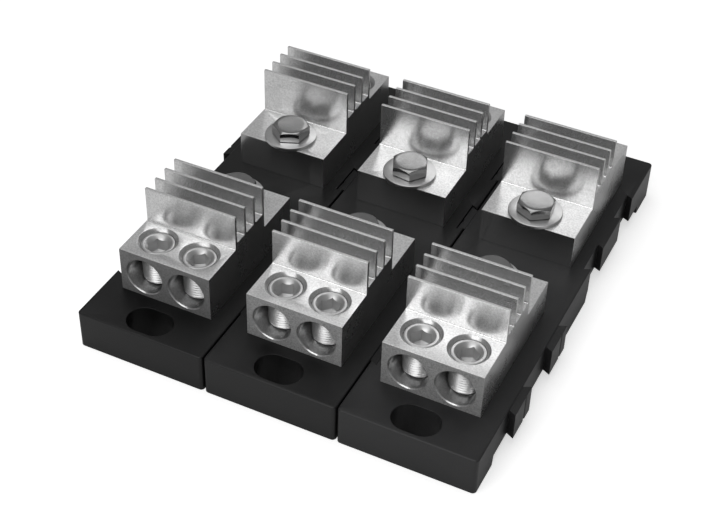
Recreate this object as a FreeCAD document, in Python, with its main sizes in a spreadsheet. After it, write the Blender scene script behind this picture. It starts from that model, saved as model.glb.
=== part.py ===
import FreeCAD, Part
import math
import os
import Sketcher

# Three-pole fuse holder: three equal poles hooked side by side.
# Each pole is a moulded base with two finned terminal blocks, and a fuse is
# bolted across the pads of its two blocks.
# Frame: X across the poles, Y along a pole with the front at -Y, Z up, and
# the origin on the mounting plane at the middle of the centre pole.

POLES = 3
FINS = 4

# Turn of each hexagon about its own axis, front end then rear end, in degrees.
BOLT_TURNS = ((40, 23), (12, 53), (28, 35))
SCREW_TURNS = ((8, 33, 50, 21), (17, 44, 5, 38), (52, 26, 13, 47))

DIMENSIONS = (
    # bases
    ("pitch", 76.2),  # centre distance of two neighbouring poles
    ("pole_gap", 0.8),  # air between the walls of two neighbouring bases
    ("base_length", 270.0),
    ("base_height", 23.0),
    ("corner_radius", 2.2),  # upright corners of a base
    ("top_chamfer", 0.5),
    ("end_foot", 21.5),  # length of the foot under each end
    ("middle_foot", 46.0),  # length of the foot under the middle
    ("arch_height", 6.0),  # clear height between two feet
    ("arch_draft", 1.2),  # lean of an arch's end
    ("slot_length", 26.0),  # mounting slot, along X
    ("slot_width", 18.2),
    ("slot_inset", 11.6),  # slot centre from the end of the base
    # dovetail hooks between the poles
    ("hook_outer_at", 49.0),  # centre of the first hook from the base's end
    ("hook_inner_at", 100.0),  # centre of the second hook from the base's end
    ("hook_root", 18.4),  # length of a hook at the wall
    ("hook_flare", 2.1),  # growth at each end, from the wall to the tip
    ("hook_depth", 4.1),
    ("hook_bottom", 5.6),  # height of a hook's lower end
    ("hook_drop", 0.8),  # depth of a hook's upper end below the base's top
    ("hook_play", 0.35),  # clearance of a hook in its slot
    ("notch_at", 3.4),  # notch in a hook's outer face, behind the hook's middle
    ("notch_width", 2.2),
    ("notch_depth", 0.9),
    # terminal blocks
    ("end_margin", 27.6),  # bare base between its end and the block
    ("block_width", 54.4),
    ("lug_depth", 27.6),  # lug's end face to the first fin
    ("lug_height", 27.0),
    ("fin_pitch", 9.6),
    ("fin_thickness", 1.7),
    ("fin_height", 48.0),
    ("fin_floor", 30.5),  # height of the metal between two fins
    ("root_radius", 0.8),
    ("pad_depth", 29.1),  # last fin to the block's inner end
    ("pad_height", 20.8),
    # wire holes and their screws
    ("wire_spacing", 25.4),
    ("wire_hole", 21.2),  # diameter
    ("wire_height", 13.0),  # hole's axis above the base
    ("wire_depth", 30.5),
    ("wire_chamfer", 0.6),
    ("thread_play", 0.05),  # radial clearance between screw and tapped hole
    ("screw_inset", 15.0),  # screw's axis from the lug's end face
    ("screw_diameter", 18.4),
    ("screw_sunk", 1.6),  # screw's top below the lug's top
    ("screw_tip", 3.9),  # height of the screw's tip above the base
    ("screw_point", 1.4),  # chamfer at the tip
    ("screw_edge", 0.4),  # chamfer at the top
    ("tip_room", 0.3),  # tapped hole beyond the tip
    ("sink", 1.7),  # countersink around a wire screw
    ("socket_flats", 10.2),
    ("socket_depth", 9.0),
    ("socket_mouth", 14.6),  # diameter of the cone at the socket's mouth
    ("mouth_depth", 1.3),
    ("mouth_inside", 0.2),  # how far the cone's foot lies inside the socket's flats
    # fuse bolts
    ("bolt_inset", 11.4),  # bolt's axis from the block's inner end
    ("bolt_diameter", 12.7),
    ("bolt_length", 17.4),
    ("bolt_flats", 19.05),
    ("bolt_head", 6.6),
    ("head_bevel", 1.1),  # height of the bevel on the head
    ("bolt_point", 1.0),
    ("bolt_hole_depth", 17.0),
    ("washer_outer", 30.2),
    ("washer_inner", 13.5),
    ("washer_thick", 2.0),
    ("washer_edge", 0.3),
    # screws that hold a block from below
    ("fixing_spread", 32.0),
    ("fixing_inset", 44.0),  # their axes from the lug's end face
    ("fixing_diameter", 6.0),
    ("fixing_grip", 12.0),  # length inside the block
    ("fixing_hole", 6.6),
    ("fixing_head", 10.2),
    ("fixing_head_tall", 5.2),
    ("fixing_flats", 5.0),
    ("fixing_socket", 3.0),
    ("bore_play", 0.6),  # head's clearance in its counterbore, radial
    ("bore_depth", 5.6),  # counterbore above the arch
)


class Size:
    """A length together with the formula that ties it to the sheet."""

    def __init__(self, value, formula):
        self.value = value
        self.formula = formula

    def __add__(self, other):
        other = as_size(other)
        return Size(self.value + other.value, f"({self.formula} + {other.formula})")

    def __sub__(self, other):
        other = as_size(other)
        return Size(self.value - other.value, f"({self.formula} - {other.formula})")

    def __mul__(self, other):
        other = as_size(other)
        return Size(self.value * other.value, f"({self.formula} * {other.formula})")

    def __truediv__(self, other):
        other = as_size(other)
        return Size(self.value / other.value, f"({self.formula} / {other.formula})")

    def __neg__(self):
        return Size(-self.value, f"(0 - {self.formula})")


def as_size(number):
    if isinstance(number, Size):
        return number
    return Size(float(number), f"({float(number):.9f})")


def make_sheet(doc):
    """Write every dimension into the sheet and give it back as a Size."""
    sheet = doc.addObject("Spreadsheet::Sheet", "Sizes")
    sizes = {}
    for row, (name, value) in enumerate(DIMENSIONS, start=1):
        sheet.set(f"A{row}", name)
        sheet.set(f"B{row}", str(value))
        sheet.setAlias(f"B{row}", name)
        sizes[name] = Size(value, f"Sizes.{name}")
    doc.recompute()
    return sizes


def bind(thing, name, size):
    """Set a property now and tie it to the sheet."""
    size = as_size(size)
    if "." not in name:
        setattr(thing, name, size.value)
    thing.setExpression(name, size.formula)


def place(thing, x, y, z, turn=0):
    """Put a piece at a bound position, turned about the Z axis."""
    spot = FreeCAD.Vector(as_size(x).value, as_size(y).value, as_size(z).value)
    thing.Placement = FreeCAD.Placement(spot, FreeCAD.Rotation(FreeCAD.Vector(0, 0, 1), turn))
    bind(thing, "Placement.Base.x", x)
    bind(thing, "Placement.Base.y", y)
    bind(thing, "Placement.Base.z", z)


# Sketches

def sketch_on(body, role, name, lift=None):
    """A sketch on one of the body's own planes, lifted along its normal."""
    plane = next(item for item in body.Origin.OriginFeatures if item.Role == role)
    sketch = body.newObject("Sketcher::SketchObject", name)
    sketch.AttachmentSupport = (plane, [""])
    sketch.MapMode = "FlatFace"
    if lift is not None:
        offset = FreeCAD.Vector(0, 0, lift.value)
        sketch.AttachmentOffset = FreeCAD.Placement(offset, FreeCAD.Rotation())
        sketch.setExpression("AttachmentOffset.Base.z", lift.formula)
    return sketch


def hold(sketch, kind, where, size):
    """Add one dimension to a sketch and tie it to the sheet."""
    size = as_size(size)
    index = sketch.addConstraint(Sketcher.Constraint(kind, *where, size.value))
    sketch.setExpression(f"Constraints[{index}]", size.formula)


def pin_point(sketch, geometry, vertex, x, y):
    """Fix a point of a sketch by its two distances from the origin."""
    hold(sketch, "DistanceX", (-1, 1, geometry, vertex), x)
    hold(sketch, "DistanceY", (-1, 1, geometry, vertex), y)


def vector(x, y):
    return FreeCAD.Vector(as_size(x).value, as_size(y).value, 0)


def polygon(sketch, points):
    """A closed outline of straight lines through the given points."""
    corners = [vector(x, y) for x, y in points]
    following = corners[1:] + corners[:1]
    lines = [sketch.addGeometry(Part.LineSegment(a, b)) for a, b in zip(corners, following)]
    for line, after in zip(lines, lines[1:] + lines[:1]):
        sketch.addConstraint(Sketcher.Constraint("Coincident", line, 2, after, 1))
    for line, (x, y) in zip(lines, points):
        pin_point(sketch, line, 1, x, y)


def circle(sketch, x, y, diameter):
    up = FreeCAD.Vector(0, 0, 1)
    ring = sketch.addGeometry(Part.Circle(vector(x, y), up, as_size(diameter).value / 2))
    hold(sketch, "Radius", (ring,), diameter / 2)
    pin_point(sketch, ring, 3, x, y)


def obround(sketch, x, y, length, width):
    """A slot along the sketch's X axis with two half-round ends."""
    up = FreeCAD.Vector(0, 0, 1)
    reach = (length - width) / 2
    half = width / 2
    right_round = Part.Circle(vector(x + reach, y), up, half.value)
    left_round = Part.Circle(vector(x - reach, y), up, half.value)
    quarter = math.pi / 2
    right = sketch.addGeometry(Part.ArcOfCircle(right_round, -quarter, quarter))
    left = sketch.addGeometry(Part.ArcOfCircle(left_round, quarter, 3 * quarter))
    top = sketch.addGeometry(Part.LineSegment(vector(x + reach, y + half), vector(x - reach, y + half)))
    low = sketch.addGeometry(Part.LineSegment(vector(x - reach, y - half), vector(x + reach, y - half)))
    for first, end, second, start in ((right, 2, top, 1), (top, 2, left, 1), (left, 2, low, 1), (low, 2, right, 1)):
        sketch.addConstraint(Sketcher.Constraint("Tangent", first, end, second, start))
    sketch.addConstraint(Sketcher.Constraint("Equal", right, left))
    hold(sketch, "Radius", (right,), half)
    pin_point(sketch, right, 3, x + reach, y)
    hold(sketch, "DistanceX", (-1, 1, left, 3), x - reach)


def hexagon(sketch, flats):
    """A regular hexagon about the origin, with a corner on the X axis."""
    corner = flats / math.sqrt(3)
    points = []
    for step in range(6):
        angle = math.radians(60 * step)
        points.append((corner * math.cos(angle), corner * math.sin(angle)))
    polygon(sketch, points)


# Features

def pad(body, sketch, name, length, middle=False, down=False):
    feature = body.newObject("PartDesign::Pad", name)
    feature.Profile = sketch
    bind(feature, "Length", length)
    if middle:
        feature.SideType = "Symmetric"
    feature.Reversed = down
    return feature


def pocket(body, sketch, name, depth=None, reverse=False):
    """Cut a sketch to a depth, or right through where none is given."""
    feature = body.newObject("PartDesign::Pocket", name)
    feature.Profile = sketch
    feature.Reversed = reverse
    if depth is None:
        feature.Type = "ThroughAll"
    else:
        feature.Type = "Length"
        bind(feature, "Length", depth)
    return feature


def axis_of(body, role):
    return next(item for item in body.Origin.OriginFeatures if item.Role == role)


def turn_profile(body, sketch, name, kind="PartDesign::Revolution"):
    """Revolve a half profile of the XZ plane about the body's Z axis."""
    feature = body.newObject(kind, name)
    feature.Profile = sketch
    feature.ReferenceAxis = (axis_of(body, "Z_Axis"), [""])
    feature.Angle = 360
    return feature


def dress(body, kind, name, size, test):
    """Round or bevel each edge of the body's tip that passes the test."""
    body.Document.recompute()
    tip = body.Tip
    edges = [f"Edge{n}" for n, edge in enumerate(tip.Shape.Edges, start=1) if test(edge)]
    feature = body.newObject(f"PartDesign::{kind}", name)
    feature.Base = (tip, edges)
    bind(feature, "Radius" if kind == "Fillet" else "Size", size)
    return feature


def same(a, b):
    return abs(a - b) < 1e-5


def level_at(height):
    """Test for an edge that lies wholly at one height."""
    return lambda edge: same(edge.BoundBox.ZMin, height) and same(edge.BoundBox.ZMax, height)


def ring_of(edge, radius):
    return isinstance(edge.Curve, Part.Circle) and same(edge.Curve.Radius, radius)


def new_body(doc, name):
    body = doc.addObject("PartDesign::Body", name)
    body.Label = name
    return body


# Pieces

def dovetail(side, start, tip, middle, root_half, tip_half, notch=()):
    """Plan of a hook or of its slot, widening from the wall outwards or inwards."""
    return (
        (side * start, side * (middle - root_half)),
        (side * tip, side * (middle - tip_half)),
        *((side * x, side * y) for x, y in notch),
        (side * tip, side * (middle + tip_half)),
        (side * start, side * (middle + root_half)),
    )


class Mirror:
    """Multiplies a size by plus or minus one."""

    def __init__(self, sign):
        self.sign = sign

    def __mul__(self, size):
        return size if self.sign > 0 else -size


def make_base(doc, s, name):
    """Moulded base on three feet, with hooks and slots along both walls.

    The right wall has its two hooks in the front half and its two slots in the
    rear half. Half a turn about the Z axis gives the left wall.
    """
    body = new_body(doc, name)
    half_length = s["base_length"] / 2
    half_width = (s["pitch"] - s["pole_gap"]) / 2
    end_arch = half_length - s["end_foot"]
    middle_arch = s["middle_foot"] / 2
    rise = s["arch_height"]
    lean = s["arch_draft"]

    profile = sketch_on(body, "YZ_Plane", f"{name}_profile")
    front = ((-half_length, s["base_height"]), (-half_length, as_size(0)), (-end_arch, as_size(0)),
             (-end_arch + lean, rise), (-middle_arch - lean, rise), (-middle_arch, as_size(0)))
    rear = [(-y, z) for y, z in reversed(front)]
    polygon(profile, list(front) + rear)
    pad(body, profile, f"{name}_block", half_width * 2, middle=True)

    dress(body, "Fillet", f"{name}_corners", s["corner_radius"],
          lambda edge: same(abs(edge.CenterOfMass.x), half_width.value)
          and same(abs(edge.CenterOfMass.y), half_length.value)
          and edge.BoundBox.ZLength > s["base_height"].value / 2)
    dress(body, "Chamfer", f"{name}_top_edge", s["top_chamfer"], level_at(s["base_height"].value))

    slots = sketch_on(body, "XY_Plane", f"{name}_mounting_slots_plan")
    for y in (-half_length + s["slot_inset"], half_length - s["slot_inset"]):
        obround(slots, as_size(0), y, s["slot_length"], s["slot_width"])
    pocket(body, slots, f"{name}_mounting_slots", reverse=True)

    hooks = sketch_on(body, "XY_Plane", f"{name}_hooks_plan", lift=s["hook_bottom"])
    grooves = sketch_on(body, "XY_Plane", f"{name}_hook_slots_plan")
    root_half = s["hook_root"] / 2
    slope = s["hook_flare"] / s["hook_depth"]
    overlap = s["hook_depth"] / 3
    groove_depth = s["hook_depth"] - s["pole_gap"] + s["hook_play"]
    groove_root = root_half + slope * s["pole_gap"] + s["hook_play"]
    for sign in (1, -1):
        side = Mirror(sign)
        for at in (s["hook_outer_at"], s["hook_inner_at"]):
            centre = at - half_length
            tip = half_width + s["hook_depth"]
            groove_at = centre + s["notch_at"]
            notch = (
                (tip, groove_at - s["notch_width"] / 2),
                (tip - s["notch_depth"], groove_at),
                (tip, groove_at + s["notch_width"] / 2),
            )
            wall = dovetail(side, half_width, tip, centre, root_half, root_half + s["hook_flare"], notch)
            inside = (
                (side * (half_width - overlap), side * (centre + root_half)),
                (side * (half_width - overlap), side * (centre - root_half)),
            )
            polygon(hooks, list(wall) + list(inside))
            cut = dovetail(side, half_width, half_width - groove_depth, -centre,
                           groove_root, groove_root + slope * groove_depth)
            mouth = (
                (side * (half_width + overlap), side * (-centre + groove_root)),
                (side * (half_width + overlap), side * (-centre - groove_root)),
            )
            polygon(grooves, list(cut) + list(mouth))
    pad(body, hooks, f"{name}_hooks", s["base_height"] - s["hook_drop"] - s["hook_bottom"])
    pocket(body, grooves, f"{name}_hook_slots", reverse=True)

    holes = sketch_on(body, "XY_Plane", f"{name}_fixing_plan")
    bores = sketch_on(body, "XY_Plane", f"{name}_counterbore_plan", lift=rise + s["bore_depth"])
    for x, y in fixing_spots(s):
        circle(holes, x, y, s["fixing_hole"])
        circle(bores, x, y, s["fixing_head"] + s["bore_play"] * 2)
    pocket(body, holes, f"{name}_fixing_holes", reverse=True)
    pocket(body, bores, f"{name}_counterbores")
    return body


def fixing_spots(s):
    """Axes of the four screws under a pole's two blocks."""
    along = s["base_length"] / 2 - s["end_margin"] - s["fixing_inset"]
    across = s["fixing_spread"] / 2
    return [(x, y) for y in (-along, along) for x in (-across, across)]


def make_terminal(doc, s, name):
    """Extruded terminal block: lug, four fins and pad, drilled afterwards.

    Its own origin is under the lug's end face, and it runs towards +Y.
    """
    body = new_body(doc, name)
    fins_end = s["lug_depth"] + s["fin_pitch"] * (FINS - 1) + s["fin_thickness"]
    length = fins_end + s["pad_depth"]
    zero = as_size(0)

    outline = [(zero, s["lug_height"]), (zero, zero), (length, zero), (length, s["pad_height"])]
    for fin in reversed(range(FINS)):
        outer = s["lug_depth"] + s["fin_pitch"] * fin
        inner = outer + s["fin_thickness"]
        behind = s["pad_height"] if fin == FINS - 1 else s["fin_floor"]
        before = s["lug_height"] if fin == 0 else s["fin_floor"]
        outline += [(inner, behind), (inner, s["fin_height"]), (outer, s["fin_height"]), (outer, before)]
    profile = sketch_on(body, "YZ_Plane", f"{name}_profile")
    polygon(profile, outline)
    pad(body, profile, f"{name}_extrusion", s["block_width"], middle=True)

    roots = [(fins_end.value, s["pad_height"].value), (s["lug_depth"].value, s["lug_height"].value)]
    for fin in range(FINS - 1):
        inner = s["lug_depth"].value + s["fin_pitch"].value * fin + s["fin_thickness"].value
        outer = s["lug_depth"].value + s["fin_pitch"].value * (fin + 1)
        roots += [(inner, s["fin_floor"].value), (outer, s["fin_floor"].value)]
    dress(body, "Fillet", f"{name}_fin_roots", s["root_radius"],
          lambda edge: edge.BoundBox.XLength > s["block_width"].value / 2
          and any(same(edge.CenterOfMass.y, y) and same(edge.CenterOfMass.z, z) for y, z in roots))

    wires = sketch_on(body, "XZ_Plane", f"{name}_wire_plan")
    screws = sketch_on(body, "XY_Plane", f"{name}_screw_plan", lift=s["lug_height"])
    tapped = s["screw_diameter"] + s["thread_play"] * 2
    for x in (-s["wire_spacing"] / 2, s["wire_spacing"] / 2):
        circle(wires, x, s["wire_height"], s["wire_hole"])
        circle(screws, x, s["screw_inset"], tapped)
    pocket(body, wires, f"{name}_wire_holes", s["wire_depth"])
    dress(body, "Chamfer", f"{name}_wire_mouths", s["wire_chamfer"],
          lambda edge: ring_of(edge, s["wire_hole"].value / 2) and same(edge.CenterOfMass.y, 0))
    pocket(body, screws, f"{name}_screw_holes", s["lug_height"] - s["screw_tip"] + s["tip_room"])
    dress(body, "Chamfer", f"{name}_screw_sinks", s["sink"],
          lambda edge: ring_of(edge, tapped.value / 2) and same(edge.CenterOfMass.z, s["lug_height"].value))

    bolt = sketch_on(body, "XY_Plane", f"{name}_bolt_plan", lift=s["pad_height"])
    circle(bolt, zero, length - s["bolt_inset"], s["bolt_diameter"] + s["thread_play"] * 2)
    pocket(body, bolt, f"{name}_bolt_hole", s["bolt_hole_depth"])

    under = sketch_on(body, "XY_Plane", f"{name}_fixing_plan")
    for x in (-s["fixing_spread"] / 2, s["fixing_spread"] / 2):
        circle(under, x, s["fixing_inset"], s["fixing_diameter"] + s["thread_play"] * 2)
    pocket(body, under, f"{name}_fixing_holes", s["fixing_grip"] + 1, reverse=True)
    return body


def make_wire_screw(doc, s, name):
    """Socket set screw with a bevelled cup point; its origin is at the tip."""
    body = new_body(doc, name)
    radius = s["screw_diameter"] / 2
    length = s["lug_height"] - s["screw_sunk"] - s["screw_tip"]
    point = s["screw_point"]
    edge = s["screw_edge"]
    zero = as_size(0)
    half = sketch_on(body, "XZ_Plane", f"{name}_half")
    polygon(half, [
        (zero, point),
        (radius / 2, zero),
        (radius - point, zero),
        (radius, point),
        (radius, length - edge),
        (radius - edge, length),
        (s["socket_mouth"] / 2, length),
        (s["socket_flats"] / 2 - s["mouth_inside"], length - s["mouth_depth"]),
        (zero, length - s["mouth_depth"]),
    ])
    turn_profile(body, half, f"{name}_turned")
    socket = sketch_on(body, "XY_Plane", f"{name}_socket_plan", lift=length)
    hexagon(socket, s["socket_flats"])
    pocket(body, socket, f"{name}_socket", s["socket_depth"])
    return body


def make_bolt(doc, s, name):
    """Hexagon bolt; its origin is under the head."""
    body = new_body(doc, name)
    head = sketch_on(body, "XY_Plane", f"{name}_head_plan")
    hexagon(head, s["bolt_flats"])
    pad(body, head, f"{name}_head", s["bolt_head"])

    # The bevel leaves a round face as wide as the flats.
    bevel = sketch_on(body, "XZ_Plane", f"{name}_bevel_half")
    flat = s["bolt_flats"] / 2
    reach = s["bolt_flats"] / 8
    fall = s["head_bevel"] * reach / (flat * (2 / math.sqrt(3) - 1))
    polygon(bevel, [
        (flat, s["bolt_head"]),
        (flat + reach, s["bolt_head"] - fall),
        (flat + reach, s["bolt_head"] + 1),
        (flat, s["bolt_head"] + 1),
    ])
    turn_profile(body, bevel, f"{name}_bevel", kind="PartDesign::Groove")

    shank = sketch_on(body, "XY_Plane", f"{name}_shank_plan")
    circle(shank, as_size(0), as_size(0), s["bolt_diameter"])
    pad(body, shank, f"{name}_shank", s["bolt_length"], down=True)
    dress(body, "Chamfer", f"{name}_point", s["bolt_point"], level_at(-s["bolt_length"].value))
    return body


def make_washer(doc, s, name):
    body = new_body(doc, name)
    plan = sketch_on(body, "XY_Plane", f"{name}_plan")
    circle(plan, as_size(0), as_size(0), s["washer_outer"])
    circle(plan, as_size(0), as_size(0), s["washer_inner"])
    pad(body, plan, f"{name}_disc", s["washer_thick"])
    dress(body, "Chamfer", f"{name}_edge", s["washer_edge"],
          lambda edge: ring_of(edge, s["washer_outer"].value / 2))
    return body


def make_fixings(doc, s, name):
    """Four socket-head screws that hold a pole's blocks from below."""
    seat = s["arch_height"] + s["bore_depth"]
    solids = []
    sockets = []
    for number, (x, y) in enumerate(fixing_spots(s), start=1):
        shank = doc.addObject("Part::Cylinder", f"{name}_shank_{number}")
        bind(shank, "Radius", s["fixing_diameter"] / 2)
        bind(shank, "Height", s["base_height"] + s["fixing_grip"] - seat)
        place(shank, x, y, seat)
        head = doc.addObject("Part::Cylinder", f"{name}_head_{number}")
        bind(head, "Radius", s["fixing_head"] / 2)
        bind(head, "Height", s["fixing_head_tall"])
        place(head, x, y, seat - s["fixing_head_tall"])
        socket = doc.addObject("Part::Prism", f"{name}_socket_{number}")
        socket.Polygon = 6
        bind(socket, "Circumradius", s["fixing_flats"] / math.sqrt(3))
        bind(socket, "Height", s["fixing_socket"])
        place(socket, x, y, seat - s["fixing_head_tall"])
        solids += [shank, head]
        sockets.append(socket)
    screws = doc.addObject("Part::MultiFuse", f"{name}_blanks")
    screws.Shapes = solids
    hollows = doc.addObject("Part::MultiFuse", f"{name}_sockets")
    hollows.Shapes = sockets
    cut = doc.addObject("Part::Cut", name)
    cut.Base = screws
    cut.Tool = hollows
    cut.Label = name
    return cut


def make_pole(doc, s, number):
    """One pole's pieces, each placed on the pole's own centre line."""
    centre = s["pitch"] * (number - (POLES + 1) / 2)
    top = s["base_height"]
    half_length = s["base_length"] / 2
    pieces = {}

    base = make_base(doc, s, f"base_{number}")
    place(base, centre, 0, 0)
    pieces[base.Label] = base

    block = s["lug_depth"] + s["fin_pitch"] * (FINS - 1) + s["fin_thickness"] + s["pad_depth"]
    bolt_at = half_length - s["end_margin"] - block + s["bolt_inset"]
    screw_at = half_length - s["end_margin"] - s["screw_inset"]
    for index, end in enumerate(("front", "rear")):
        side = Mirror(-1 if end == "front" else 1)
        turn = 0 if end == "front" else 180
        terminal = make_terminal(doc, s, f"{end}_terminal_{number}")
        place(terminal, centre, side * (half_length - s["end_margin"]), top, turn)
        pieces[terminal.Label] = terminal

        for hand, x in enumerate((centre - s["wire_spacing"] / 2, centre + s["wire_spacing"] / 2)):
            letter = ("left", "right")[hand]
            screw = make_wire_screw(doc, s, f"{end}_wire_screw_{number}_{letter}")
            angle = SCREW_TURNS[number - 1][2 * index + hand]
            place(screw, x, side * screw_at, top + s["screw_tip"], angle)
            pieces[screw.Label] = screw

        washer = make_washer(doc, s, f"{end}_washer_{number}")
        place(washer, centre, side * bolt_at, top + s["pad_height"])
        pieces[washer.Label] = washer
        bolt = make_bolt(doc, s, f"{end}_bolt_{number}")
        seat = top + s["pad_height"] + s["washer_thick"]
        place(bolt, centre, side * bolt_at, seat, BOLT_TURNS[number - 1][index])
        pieces[bolt.Label] = bolt

    fixings = make_fixings(doc, s, f"terminal_fixings_{number}")
    place(fixings, centre, 0, 0)
    pieces[fixings.Label] = fixings
    return pieces


def main():
    doc = FreeCAD.newDocument("FuseHolder")
    sizes = make_sheet(doc)
    pieces = {}
    for number in range(1, POLES + 1):
        pieces.update(make_pole(doc, sizes, number))
    doc.recompute()

    for thing in doc.Objects:
        if "Invalid" in thing.State or "Error" in thing.State:
            raise RuntimeError(f"{thing.Label} failed: {thing.State}")
    for name, piece in pieces.items():
        if piece.Shape.isNull() or not piece.Shape.isValid() or not piece.Shape.Solids:
            raise RuntimeError(f"{name} has no valid solid")

    os.makedirs("parts", exist_ok=True)
    for name, piece in pieces.items():
        piece.Shape.exportStep(f"parts/{name}.step")
        print(name, len(piece.Shape.Solids), round(piece.Shape.Volume, 1))


main()
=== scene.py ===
import bmesh
import bpy
import math
import numpy as np
from mathutils import Matrix, Vector


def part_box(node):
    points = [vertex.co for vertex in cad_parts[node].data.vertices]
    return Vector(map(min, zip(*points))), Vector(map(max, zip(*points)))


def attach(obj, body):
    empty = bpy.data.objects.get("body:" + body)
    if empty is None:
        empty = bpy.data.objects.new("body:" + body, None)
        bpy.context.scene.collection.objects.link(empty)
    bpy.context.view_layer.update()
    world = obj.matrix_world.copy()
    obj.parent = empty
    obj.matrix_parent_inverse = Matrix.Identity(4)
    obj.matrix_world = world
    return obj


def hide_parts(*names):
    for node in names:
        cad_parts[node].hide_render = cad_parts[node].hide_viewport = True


# Three-pole fuse holder: three hooked bases, six finned terminal blocks with
# two wire screws each, and six fuse bolts on washers.
# Everything is in metres in the frame of the solids.

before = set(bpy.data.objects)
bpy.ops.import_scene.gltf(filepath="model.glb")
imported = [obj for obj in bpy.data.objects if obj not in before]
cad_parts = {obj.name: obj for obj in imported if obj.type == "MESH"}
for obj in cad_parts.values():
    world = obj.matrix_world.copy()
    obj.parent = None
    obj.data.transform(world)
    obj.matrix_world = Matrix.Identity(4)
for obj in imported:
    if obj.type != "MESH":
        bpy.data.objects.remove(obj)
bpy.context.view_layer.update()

MM = 0.001
TURN = 2 * math.pi
POLES = (1, 2, 3)
ENDS = ("front", "rear")
HANDS = ("left", "right")

AROUND = 72  # points around a screw, a bolt or a washer
THREAD_ROWS = 8  # rings in one pitch of a thread
SHARP = math.radians(32)  # an edge that bends more stays crisp

# Face values of "cut": how a face of a terminal block was made, or for PAD_END where it lies; drawn faces
# have 0.
SAWN = 1.0
MILLED = 0.75
BORED = 0.35
# PAD_END: the pad's end face, whose colour is darkened as a painted reflection of the black base
PAD_END = 0.15


# Surfaces

def rings_mesh(name, rings, centre, turn=0.0):
    """A closed surface from rings of points about an upright axis.

    rings is an array (count, AROUND, 2) of radius and height; neighbouring
    rings are joined by quads, and the first and last ring are filled.
    """
    rings = np.asarray(rings, dtype=float)
    count, around, _ = rings.shape
    angle = np.arange(around) / around * TURN + turn
    points = np.empty((count, around, 3))
    points[..., 0] = centre[0] + rings[..., 0] * np.cos(angle)
    points[..., 1] = centre[1] + rings[..., 0] * np.sin(angle)
    points[..., 2] = centre[2] + rings[..., 1]
    row = np.arange(count - 1)[:, None] * around
    here = np.arange(around)[None, :]
    after = (here + 1) % around
    corners = [row + here, row + after, row + around + after, row + around + here]
    quads = np.stack(corners, axis=-1).reshape(-1, 4)
    bottom = list(range(around))[::-1]
    top = list(range((count - 1) * around, count * around))
    mesh = bpy.data.meshes.new(name)
    mesh.from_pydata(points.reshape(-1, 3).tolist(), [], [bottom, *quads.tolist(), top])
    mesh.update()
    return mesh


def profile_rings(profile):
    """Rings from a list of (radius, height); either may be an array around the axis."""
    rings = np.empty((len(profile), AROUND, 2))
    for index, (radius, height) in enumerate(profile):
        rings[index, :, 0] = radius
        rings[index, :, 1] = height
    return rings


def hexagon_radius(flats):
    """Distance to a hexagon: half the flats over cos of the angle from the nearest flat's middle."""
    angle = np.arange(AROUND) / AROUND * TURN
    from_middle = np.mod(angle, TURN / 6) - TURN / 12
    return flats / 2 / np.cos(from_middle)


def thread_rings(radius, depth, pitch, low, high, point):
    """A screw thread: radius less depth times a rounded saw of height over pitch less the turn.

    At the low end the radius is held under a 45 degree bevel of size point.
    """
    count = max(2, int(round((high - low) / pitch * THREAD_ROWS)) + 1)
    height = np.linspace(low, high, count)[:, None]
    turn = np.arange(AROUND)[None, :] / AROUND
    phase = np.mod(height / pitch - turn, 1.0)
    flank, crest = 1.25, 0.125
    saw = np.clip(np.abs(phase * 2 - 1) * flank - crest, 0, 1)
    bevel = radius - point + (height - low)
    rings = np.empty((count, AROUND, 2))
    rings[..., 0] = np.minimum(radius - depth * saw, bevel)
    rings[..., 1] = np.broadcast_to(height, (count, AROUND))
    return rings


def mark_bands(mesh, name, start, stop, cap=0.0):
    """A face value of 1 on the bands of quads from start to stop, counted back from the last ring."""
    last = len(mesh.polygons) - 1
    values = np.zeros(last + 1)
    values[last - start * AROUND:last - stop * AROUND] = 1.0
    values[last] = cap
    mesh.attributes.new(name, "FLOAT", "FACE").data.foreach_set("value", values)


def merged_copy(node):
    """The node's mesh with its loose triangles joined and flat faces made whole."""
    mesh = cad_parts[node].data.copy()
    mesh.name = node
    work = bmesh.new()
    work.from_mesh(mesh)
    bmesh.ops.remove_doubles(work, verts=work.verts, dist=0.002 * MM)
    flat = math.radians(0.4)
    bmesh.ops.dissolve_limit(work, angle_limit=flat, verts=work.verts, edges=work.edges)
    work.to_mesh(mesh)
    work.free()
    return mesh


def mark_faces(mesh, end_at, pad_at):
    """Face values for how each face was made, or where it lies: cut, and level, which is 1 on faces that
    lie flat.

    end_at and pad_at are the distances of the lug's and the pad's end faces
    from the middle of the pole.
    """
    square, bent, near = 0.999, 0.02, 0.1 * MM
    cuts = mesh.attributes.new("cut", "FLOAT", "FACE")
    levels = mesh.attributes.new("level", "FLOAT", "FACE")
    for polygon, cut, level in zip(mesh.polygons, cuts.data, levels.data):
        across, along, up = (abs(part) for part in polygon.normal)
        out = abs(polygon.center.y)
        if across > square:
            cut.value = SAWN
        elif along > square and abs(out - end_at) < near:
            cut.value = MILLED
        elif along > square and abs(out - pad_at) < near:
            cut.value = PAD_END
        elif across > bent and max(across, along, up) < 0.9999:
            cut.value = BORED
        elif up > square:
            level.value = 1.0


def finish_piece(name, mesh, body, material):
    """Shade a piece, give it its material and let it ride on its body."""
    mesh.shade_smooth()
    mesh.set_sharp_from_angle(angle=SHARP)
    mesh.materials.clear()
    mesh.materials.append(material)
    piece = bpy.data.objects.new(name, mesh)
    bpy.context.scene.collection.objects.link(piece)
    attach(piece, body)
    return piece


def soften(piece, width):
    """Round the edges that bend by more than 30 degrees."""
    bevel = piece.modifiers.new("soft_edges", "BEVEL")
    bevel.width = width
    bevel.segments = 2
    bevel.limit_method = "ANGLE"
    bevel.angle_limit = math.radians(30)
    bevel.harden_normals = True
    bevel.miter_outer = "MITER_ARC"


# Finishes

def grey(tone, blue=None):
    """A plain grey, or one with its own amount of blue."""
    return (tone, tone, tone if blue is None else blue, 1)


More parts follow.
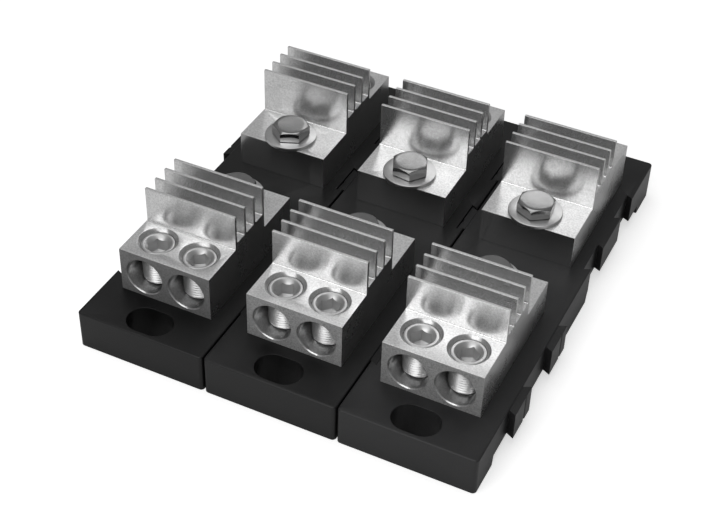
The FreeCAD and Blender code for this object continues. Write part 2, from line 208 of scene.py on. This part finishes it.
class Nodes:
    """Short calls for the nodes of one material or group."""

    def __init__(self, tree):
        self.tree = tree

    def new(self, kind, inputs=None, **settings):
        node = self.tree.nodes.new(kind)
        for key, value in settings.items():
            setattr(node, key, value)
        for key, value in (inputs or {}).items():
            if isinstance(value, bpy.types.NodeSocket):
                self.tree.links.new(value, node.inputs[key])
            else:
                node.inputs[key].default_value = value
        return node

    def place(self):
        return self.new("ShaderNodeTexCoord").outputs["Object"]

    def attribute(self, name):
        return self.new("ShaderNodeAttribute", attribute_name=name).outputs["Fac"]

    def maths(self, operation, *values):
        return self.new("ShaderNodeMath", dict(enumerate(values)), operation=operation).outputs[0]

    def total(self, *terms):
        """The sum of each value times its weight."""
        result = self.maths("MULTIPLY", *terms[0])
        for value, weight in terms[1:]:
            result = self.maths("MULTIPLY_ADD", value, weight, result)
        return result

    def near(self, value, wanted):
        return self.maths("COMPARE", value, wanted, 0.05)

    def noise(self, vector, scale, detail=4.0, rough=0.55, distortion=0.0):
        node = self.new("ShaderNodeTexNoise", {"Vector": vector, "Scale": scale, "Detail": detail,
                                               "Roughness": rough, "Distortion": distortion})
        return node.outputs["Fac"]

    def stretch(self, vector, scale):
        return self.new("ShaderNodeMapping", {"Vector": vector, "Scale": scale}).outputs[0]

    def remap(self, value, low, high, to_low=0.0, to_high=1.0):
        node = self.new("ShaderNodeMapRange", {"Value": value, "From Min": low, "From Max": high,
                                               "To Min": to_low, "To Max": to_high})
        return node.outputs[0]

    def mix(self, factor, first, second):
        node = self.new("ShaderNodeMix", {0: factor, 6: first, 7: second}, data_type="RGBA")
        return node.outputs[2]


def make_streaks():
    """Drawn lines along one direction, with fine frost over them.

    Height is noise stretched by Along, plus short noise times Frost; Patch is
    a slow cloud for stains and handling.
    """
    tree = bpy.data.node_groups.new("drawn_streaks", "ShaderNodeTree")
    for socket, kind in (("Along", "NodeSocketVector"), ("Frost", "NodeSocketFloat")):
        tree.interface.new_socket(socket, in_out="INPUT", socket_type=kind)
    for socket in ("Height", "Patch"):
        tree.interface.new_socket(socket, in_out="OUTPUT", socket_type="NodeSocketFloat")
    given = tree.nodes.new("NodeGroupInput")
    put = tree.nodes.new("NodeGroupOutput")
    n = Nodes(tree)
    place = n.place()
    stretched = n.new("ShaderNodeVectorMath", {0: place, 1: given.outputs["Along"]}, operation="MULTIPLY")
    coarse = n.noise(stretched.outputs[0], 1.0, detail=5.0, rough=0.7)
    frost = n.noise(place, 2600.0, detail=3.0, rough=0.7)
    height = n.maths("MULTIPLY_ADD", frost, given.outputs["Frost"], coarse)
    tree.links.new(height, put.inputs["Height"])
    tree.links.new(n.noise(place, 46.0, detail=4.0, rough=0.6, distortion=0.6), put.inputs["Patch"])
    return tree


STREAKS = make_streaks()


def add_streaks(n, along, frost):
    """The streaks' height and patch in one material."""
    streaks = n.new("ShaderNodeGroup", node_tree=STREAKS)
    streaks.inputs["Along"].default_value = along
    streaks.inputs["Frost"].default_value = frost
    return streaks.outputs["Height"], streaks.outputs["Patch"]


def finish(name):
    material = bpy.data.materials.new(name)
    material.use_nodes = True
    tree = material.node_tree
    return material, Nodes(tree), tree.nodes["Principled BSDF"]


def wire_up(n, shader, colour, rough, height, depth):
    bump = n.new("ShaderNodeBump", {"Height": height, "Strength": 1.0, "Distance": depth})
    n.tree.links.new(colour, shader.inputs["Base Color"])
    n.tree.links.new(rough, shader.inputs["Roughness"])
    n.tree.links.new(bump.outputs[0], shader.inputs["Normal"])


def plated_metal(name, dark, light, smooth, dull, lines, frost, depth):
    """Bare or plated metal: streaks move the colour, the gloss and the surface together.

    A screw's socket is duller, and painted paler as painted light for the light bouncing inside it; a
    bolt's flats are smoother, and painted paler as a painted highlight.
    """
    material, n, shader = finish(name)
    shader.inputs["Metallic"].default_value = 1.0
    height, patch = add_streaks(n, (lines, lines, lines), frost)
    tone = n.remap(n.total((patch, 0.65), (height, 0.35)), 0.35, 0.85)
    socket = n.attribute("socket")
    facet = n.attribute("facet")
    # painted light: pale is painted on a screw's socket for the light bouncing inside it, and on a bolt's
    # flats as their painted highlight
    pale = grey(0.80)
    colour = n.mix(tone, dark, light)
    colour = n.mix(n.maths("MULTIPLY", socket, 0.5), colour, pale)
    colour = n.mix(n.maths("MULTIPLY", facet, 0.6), colour, pale)
    gloss = n.remap(tone, 0, 1, dull, smooth)
    rough = n.total((gloss, 1.0), (socket, 0.2), (facet, -0.08))
    wire_up(n, shader, colour, rough, height, depth)
    return material


def milled_block(name, cut_face_shade):
    """Plated extrusion: drawn faces smear reflections across the lines, and cut faces are duller.

    The last argument scales the tone of the cut faces, as painted shade that differs from pole to pole
    with the light.
    """
    material, n, shader = finish(name)
    shader.inputs["Metallic"].default_value = 0.97
    height, patch = add_streaks(n, (30, 700, 700), 0.25)
    place = n.place()
    cut = n.attribute("cut")
    level = n.attribute("level")
    sawn, milled, bored, pad_end = (n.near(cut, kind) for kind in (SAWN, MILLED, BORED, PAD_END))
    speckle = n.noise(place, 1400.0, detail=4.0, rough=0.75)
    grain = n.remap(n.noise(place, 1000.0, detail=2.0, rough=0.6), 0.36, 0.64)
    tone = n.remap(n.total((patch, 0.7), (height, 0.3)), 0.35, 0.8)

    shade = n.mix(tone, grey(0.60), grey(0.72))
    glare = n.mix(tone, grey(0.79), grey(0.92))
    # the cut faces' colour, scaled by each pole's painted shade
    rough_cut = n.mix(n.remap(speckle, 0.38, 0.62), grey(0.14 * cut_face_shade), grey(0.40 * cut_face_shade))
    colour = n.mix(cut, n.mix(grain, shade, glare), rough_cut)
    colour = n.mix(sawn, colour, grey(0.62))
    # painted reflection: the pad's end face is darkened to stand for the black base it mirrors
    colour = n.mix(pad_end, colour, grey(0.42))

    gloss = n.remap(tone, 0, 1, 0.28, 0.20)
    rough = n.total((gloss, 1.0), (milled, 0.35), (level, 0.1), (bored, 0.09), (sawn, 0.04),
                    (pad_end, -0.08))
    pitted = n.total((cut, 3.0), (sawn, -3.0))
    relief = n.maths("MULTIPLY_ADD", speckle, pitted, height)
    wire_up(n, shader, colour, rough, relief, 0.006 * MM)

    shader.inputs["Anisotropic"].default_value = 0.7
    shader.inputs["Anisotropic Rotation"].default_value = 0.25
    # along the extrusion, tipped a little so that it is never square to a face
    lines = n.new("ShaderNodeCombineXYZ", {"X": 1.0, "Y": 0.01, "Z": 0.03}).outputs[0]
    n.tree.links.new(lines, shader.inputs["Tangent"])
    return material


def moulded_black(name, tone):
    """Black thermoset: fine pebble, faint flow clouds and a few pale scuffs; tone lifts the whole, and
    its change from pole to pole is painted light.
    """
    material, n, shader = finish(name)
    place = n.place()
    clouds = n.noise(n.stretch(place, (14, 9, 20)), 1.0, detail=5.0, rough=0.6, distortion=0.8)
    cloud = n.remap(clouds, 0.3, 0.7)
    pebble = n.noise(place, 1500.0, detail=3.0, rough=0.6)
    scuffs = n.noise(n.stretch(place, (420, 60, 420)), 1.0, detail=6.0, rough=0.75)
    scuff = n.remap(scuffs, 0.66, 0.78)
    colour = n.mix(cloud, grey(0.7 * tone, 0.72 * tone), grey(1.3 * tone, 1.34 * tone))
    colour = n.mix(n.maths("MULTIPLY", scuff, 0.3), colour, grey(0.04, 0.041))
    rough = n.total((n.remap(cloud, 0, 1, 0.34, 0.46), 1.0), (scuff, 0.1))
    shader.inputs["Specular IOR Level"].default_value = 0.36
    wire_up(n, shader, colour, rough, pebble, 0.04 * MM)
    return material


BASE_TONE_AND_SHADE = (0.004, 0.008, 0.018)  # of each pole's base: the black is the moulding's own, and its rise from pole 1 to pole 3 is painted light across the row
BLOCK_CUT_SHADE = (0.3, 1.0, 0.75)  # painted shade: how dark each pole's cut faces are made to look as the light falls on them, darkest on pole 1
BLACK = [moulded_black(f"moulded_black_{pole}", tone) for pole, tone in zip(POLES, BASE_TONE_AND_SHADE)]
BLOCK = [milled_block(f"plated_block_{pole}", cut_face_shade) for pole, cut_face_shade in zip(POLES, BLOCK_CUT_SHADE)]
SCREW = plated_metal("wire_screw", dark=grey(0.42), light=grey(0.66), smooth=0.30, dull=0.42,
                     lines=300, frost=0.3, depth=0.004 * MM)
ZINC = plated_metal("zinc_bolt", dark=grey(0.25), light=grey(0.40), smooth=0.12, dull=0.24,
                    lines=200, frost=0.3, depth=0.004 * MM)
PLATE = plated_metal("zinc_washer", dark=grey(0.50), light=grey(0.70), smooth=0.26, dull=0.36,
                     lines=200, frost=0.3, depth=0.004 * MM)
DARK = plated_metal("dark_fixing", dark=grey(0.06, 0.065), light=grey(0.16, 0.165), smooth=0.34,
                    dull=0.5, lines=300, frost=0.6, depth=0.01 * MM)


# Pieces

def wire_screw_mesh(name, centre, length, turn):
    """Set screw: cup below, threaded side, ring top, coned mouth and hexagon socket.

    The cone falls at 45 degrees from the mouth to wherever it meets the hexagon.
    """
    radius = 9.2 * MM
    edge = 0.4 * MM
    soft = 0.05 * MM
    lip = 0.15 * MM
    mouth = 7.3 * MM
    hexagon = hexagon_radius(10.2 * MM)
    socket_depth = 9.0 * MM
    cup = profile_rings([(2.0 * MM, 1.3 * MM), (4.6 * MM, 0.25 * MM), (7.2 * MM, 0.0)])
    side = thread_rings(radius, depth=0.75 * MM, pitch=25.4 / 16 * MM, low=0.0, high=length - edge,
                        point=1.4 * MM)
    crown = profile_rings([
        (radius - lip, length - edge + soft),
        (radius - edge, length - soft),
        (radius - edge - lip, length),
        (mouth + 0.12 * MM, length),
        (mouth, length - soft),
        (hexagon, length - (mouth - hexagon)),
        (hexagon, length - socket_depth + edge),
        (hexagon - edge, length - socket_depth),
        (0.6 * MM, length - socket_depth - 1.2 * MM),
    ])
    mesh = rings_mesh(name, np.concatenate([cup, side, crown]), centre, turn)
    # the socket's faces: duller metal, and a paler colour painted as the light bouncing inside
    mark_bands(mesh, "socket", 3, 0, cap=1.0)
    return mesh


def bolt_mesh(name, centre, turn):
    """Hexagon bolt: threaded shank, washer face, six flats, bevelled and slightly dished top.

    The bevel falls with the hexagon's distance beyond its flats, so it is
    lowest at the corners.
    """
    radius = 6.35 * MM
    flats = 19.05 * MM
    head = 6.6 * MM
    length = 17.4 * MM
    seat = 0.02 * MM  # clear of the washer, so the faces never share a plane
    soft = 0.12 * MM
    hexagon = hexagon_radius(flats)
    bevel = 0.55 * (hexagon - flats / 2)
    tip = profile_rings([(1.0 * MM, -length), (radius - 1.6 * MM, -length)])
    shank = thread_rings(radius, depth=0.95 * MM, pitch=25.4 / 13 * MM, low=-length, high=-0.4 * MM,
                         point=1.2 * MM)
    crown = profile_rings([
        (radius, seat),
        (flats / 2 - 0.35 * MM, seat),
        (flats / 2 - 0.25 * MM, 0.3 * MM),
        (hexagon - soft, 0.34 * MM),
        (hexagon, 0.5 * MM),
        (hexagon, head - bevel - 0.35 * MM),
        (hexagon - soft, head - bevel - 0.2 * MM),
        (flats / 2 - 0.25 * MM, head - soft),
        (flats / 2 - 0.6 * MM, head),
        (flats / 2 - 2.2 * MM, head - 0.02 * MM),
        (2.0 * MM, head - 0.12 * MM),
    ])
    mesh = rings_mesh(name, np.concatenate([tip, shank, crown]), centre, turn)
    # the six flats: smoother metal, and a paler colour painted as their highlight
    mark_bands(mesh, "facet", 6, 5)
    return mesh


def washer_mesh(name, centre, thick):
    """Stamped washer: rolled upper rim, sharper lower rim and a plain bore, from one closed profile."""
    outer = 15.1 * MM
    inner = 6.75 * MM
    roll = 0.5 * MM
    burr = 0.15 * MM
    rings = profile_rings([
        (inner, 0.25 * MM),
        (inner + 0.2 * MM, 0.0),
        (outer - burr, 0.0),
        (outer, burr),
        (outer, thick - roll),
        (outer - burr, thick - burr),
        (outer - roll, thick),
        (inner + 0.25 * MM, thick),
        (inner, thick - 0.2 * MM),
        (inner, 0.25 * MM),
    ])
    mesh = rings_mesh(name, rings, centre)
    work = bmesh.new()
    work.from_mesh(mesh)
    caps = [face for face in work.faces if len(face.verts) > 4]
    bmesh.ops.delete(work, geom=caps, context="FACES_ONLY")
    bmesh.ops.remove_doubles(work, verts=work.verts, dist=0.001 * MM)
    work.to_mesh(mesh)
    work.free()
    return mesh


# Degrees by which the heads and sockets are turned, as in the solids: for
# each pole, and for a pole's left and right wire screw.
BOLT_TURNS = {"front": (40, 12, 28), "rear": (23, 53, 35)}
SCREW_TURNS = {"front": ((8, 33), (17, 44), (52, 26)), "rear": ((50, 21), (5, 38), (13, 47))}


def plan_middle(low, high):
    """The middle of a box, seen from above."""
    return ((low[0] + high[0]) / 2, (low[1] + high[1]) / 2)


def dress_base(pole):
    node = f"base_{pole}"
    piece = finish_piece(f"{node}_moulding", merged_copy(node), f"pole_{pole}",
                         BLACK[pole - 1])
    soften(piece, 0.35 * MM)
    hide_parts(node)


def dress_terminal(end, pole):
    node = f"{end}_terminal_{pole}"
    mesh = merged_copy(node)
    low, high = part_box(node)
    mark_faces(mesh, max(-low[1], high[1]), max(low[1], -high[1]))
    piece = finish_piece(f"{node}_block", mesh, f"pole_{pole}", BLOCK[pole - 1])
    soften(piece, 0.18 * MM)
    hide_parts(node)


def dress_wire_screw(end, pole, hand, degrees):
    node = f"{end}_wire_screw_{pole}_{hand}"
    low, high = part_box(node)
    foot = (*plan_middle(low, high), low[2])
    mesh = wire_screw_mesh(node, foot, high[2] - low[2], math.radians(degrees))
    piece = finish_piece(f"{node}_threaded", mesh, node, SCREW)
    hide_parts(node)


def dress_washer(end, pole):
    node = f"{end}_washer_{pole}"
    low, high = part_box(node)
    mesh = washer_mesh(node, (*plan_middle(low, high), low[2]), high[2] - low[2])
    piece = finish_piece(f"{node}_stamped", mesh, node, PLATE)
    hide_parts(node)


def dress_bolt(end, pole):
    low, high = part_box(f"{end}_washer_{pole}")
    seat = (*plan_middle(low, high), high[2])
    node = f"{end}_bolt_{pole}"
    mesh = bolt_mesh(node, seat, math.radians(BOLT_TURNS[end][pole - 1]))
    piece = finish_piece(f"{node}_threaded", mesh, node, ZINC)
    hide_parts(node)


for pole in POLES:
    dress_base(pole)
    for end in ENDS:
        dress_terminal(end, pole)
        for hand, degrees in zip(HANDS, SCREW_TURNS[end][pole - 1]):
            dress_wire_screw(end, pole, hand, degrees)
        dress_washer(end, pole)
        dress_bolt(end, pole)
    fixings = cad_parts[f"terminal_fixings_{pole}"].data
    fixings.materials.clear()
    fixings.materials.append(DARK)


# Studio

def make_floor():
    """A pale floor that looks a little brighter to the camera than it lights the object."""
    reach = 4.0
    corners = [(-reach, -reach, 0), (reach, -reach, 0), (reach, reach, 0), (-reach, reach, 0)]
    mesh = bpy.data.meshes.new("floor")
    mesh.from_pydata(corners, [], [(0, 1, 2, 3)])
    floor = bpy.data.objects.new("floor", mesh)
    bpy.context.scene.collection.objects.link(floor)
    material, n, shader = finish("pale_floor")
    colour = n.mix(n.remap(n.noise(n.place(), 3.0), 0.3, 0.7), grey(0.86), grey(0.88))
    n.tree.links.new(colour, shader.inputs["Base Color"])
    shader.inputs["Roughness"].default_value = 0.9
    seen = n.new("ShaderNodeLightPath").outputs["Is Camera Ray"]
    shader.inputs["Emission Color"].default_value = grey(1)
    n.tree.links.new(n.maths("MULTIPLY", seen, 0.55), shader.inputs["Emission Strength"])
    mesh.materials.append(material)


def make_light(name, spot, size, power):
    """A soft box that faces the middle of the object."""
    lamp = bpy.data.lights.new(name, "AREA")
    lamp.shape = "RECTANGLE"
    lamp.size, lamp.size_y = size
    lamp.energy = power
    light = bpy.data.objects.new(name, lamp)
    light.location = spot
    light.rotation_euler = (-Vector(spot)).to_track_quat("-Z", "Y").to_euler()
    bpy.context.scene.collection.objects.link(light)


def make_camera():
    """The photograph's viewpoint, with its slight roll."""
    data = bpy.data.cameras.new("camera")
    data.sensor_width = 36
    data.lens = 74.35
    data.clip_end = 20
    camera = bpy.data.objects.new("camera", data)
    bpy.context.scene.collection.objects.link(camera)
    spot = (0.26323, -0.59437, 0.55011)
    turned = Matrix(((0.897007, -0.302497, 0.322295), (0.441314, 0.571785, -0.691596),
                     (0.024923, 0.762599, 0.646391)))
    camera.matrix_world = Matrix.Translation(spot) @ turned.to_4x4()
    bpy.context.scene.camera = camera


def make_world():
    """A dim white room that the camera sees as plain white."""
    world = bpy.data.worlds.new("studio")
    world.use_nodes = True
    n = Nodes(world.node_tree)
    seen = n.new("ShaderNodeLightPath").outputs["Is Camera Ray"]
    backdrop = world.node_tree.nodes["Background"]
    backdrop.inputs["Color"].default_value = grey(1)
    n.tree.links.new(n.remap(seen, 0, 1, 0.28, 1), backdrop.inputs["Strength"])
    bpy.context.scene.world = world


make_floor()
make_light("front_left", (-0.12, -1.2, 1.06), (1.2, 0.9), 8)
make_light("overhead", (-0.2, 0.0, 1.6), (1.3, 1.2), 6.5)
make_light("back_left", (-0.55, 1.15, 1.05), (1.1, 0.8), 0.2)
make_camera()
make_world()
bpy.context.scene.view_settings.view_transform = "Standard"
